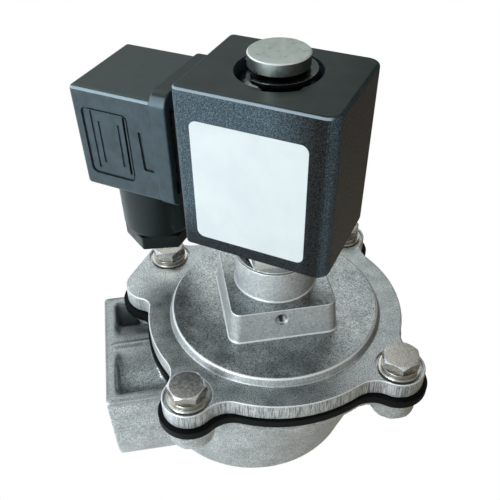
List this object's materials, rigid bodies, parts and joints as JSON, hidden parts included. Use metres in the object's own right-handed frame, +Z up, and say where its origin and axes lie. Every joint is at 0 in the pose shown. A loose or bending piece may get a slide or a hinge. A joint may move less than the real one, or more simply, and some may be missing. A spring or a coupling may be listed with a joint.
{
  "type": "dust collector pulse valve",
  "caption": "Right-angle diaphragm pulse valve: cast body with side inlet and bottom outlet, bolted cover, solenoid coil and square plug with cable gland.",
  "frame": {"origin": "centre of the footprint, on the outlet's end face", "axes": "+Z up along the outlet, diaphragm and coil axis; -X is the way the inlet faces; the picture is taken from -Y"},
  "size_m": [0.096, 0.0829, 0.1375],
  "materials": {
    "cast_aluminium": "as cast, lightly tumbled",
    "stainless_steel": "turned, bright",
    "zinc_plated_steel": "zinc plated, slightly warm",
    "spring_steel": "oiled dark",
    "soft_iron": "plain",
    "nitrile_rubber": "matt black",
    "glass_filled_nylon": "fine grain, near black",
    "moulded_plug_black": "satin, near black",
    "grey_nylon": "plain",
    "enamelled_copper": "enamelled wire",
    "tinned_brass": "tinned"
  },
  "bodies": {
    "valve": {"valve_body": "cast_aluminium", "cover": "cast_aluminium", "tube_base": "stainless_steel", "core_tube": "stainless_steel", "fixed_core": "stainless_steel", "dished_washer": "stainless_steel", "cover_bolt_1": "zinc_plated_steel", "cover_bolt_2": "zinc_plated_steel", "cover_bolt_3": "zinc_plated_steel", "cover_bolt_4": "zinc_plated_steel", "flat_washer_1": "zinc_plated_steel", "flat_washer_2": "zinc_plated_steel", "flat_washer_3": "zinc_plated_steel", "flat_washer_4": "zinc_plated_steel", "spring_washer_1": "zinc_plated_steel", "spring_washer_2": "zinc_plated_steel", "spring_washer_3": "zinc_plated_steel", "spring_washer_4": "zinc_plated_steel", "diaphragm_spring": "spring_steel", "armature_spring": "spring_steel", "retaining_clip": "spring_steel", "diaphragm": "nitrile_rubber", "tube_seal": "nitrile_rubber"},
    "main_diaphragm": {"upper_plate": "zinc_plated_steel", "lower_plate": "zinc_plated_steel", "diaphragm_screw": "zinc_plated_steel", "diaphragm_nut": "zinc_plated_steel"},
    "armature": {"armature": "stainless_steel", "armature_seal": "nitrile_rubber"},
    "coil": {"coil_housing": "glass_filled_nylon", "flux_plate_lower": "soft_iron", "flux_plate_upper": "soft_iron", "coil_bobbin": "grey_nylon", "coil_winding": "enamelled_copper", "plug_housing": "moulded_plug_black", "screw_seal": "nitrile_rubber", "plug_screw": "zinc_plated_steel", "terminal_block": "grey_nylon", "contact_blade_1": "tinned_brass", "contact_blade_2": "tinned_brass", "contact_blade_3": "tinned_brass", "terminal_screw_1": "tinned_brass", "terminal_screw_2": "tinned_brass", "terminal_screw_3": "tinned_brass", "plug_gasket": "nitrile_rubber", "gland_nut": "moulded_plug_black", "gland_ring": "grey_nylon", "gland_grommet": "nitrile_rubber"}
  },
  "joints": [
    {"name": "diaphragm_lift", "type": "slide", "parent": "valve", "child": "main_diaphragm", "axis": [0, 0, 1], "range_m": [0, 0.006], "stiffness_N_per_m": 800, "springref_m": -0.006, "deforming": ["diaphragm", "diaphragm_spring"]},
    {"name": "armature_lift", "type": "slide", "parent": "valve", "child": "armature", "axis": [0, 0, 1], "range_m": [0, 0.0015], "stiffness_N_per_m": 400, "springref_m": -0.004, "deforming": ["armature_spring"]},
    {"name": "coil_turn", "type": "hinge", "parent": "valve", "child": "coil", "pos_m": [0.0072, 0, 0.1], "axis": [0, 0, 1], "continuous": true}
  ]
}
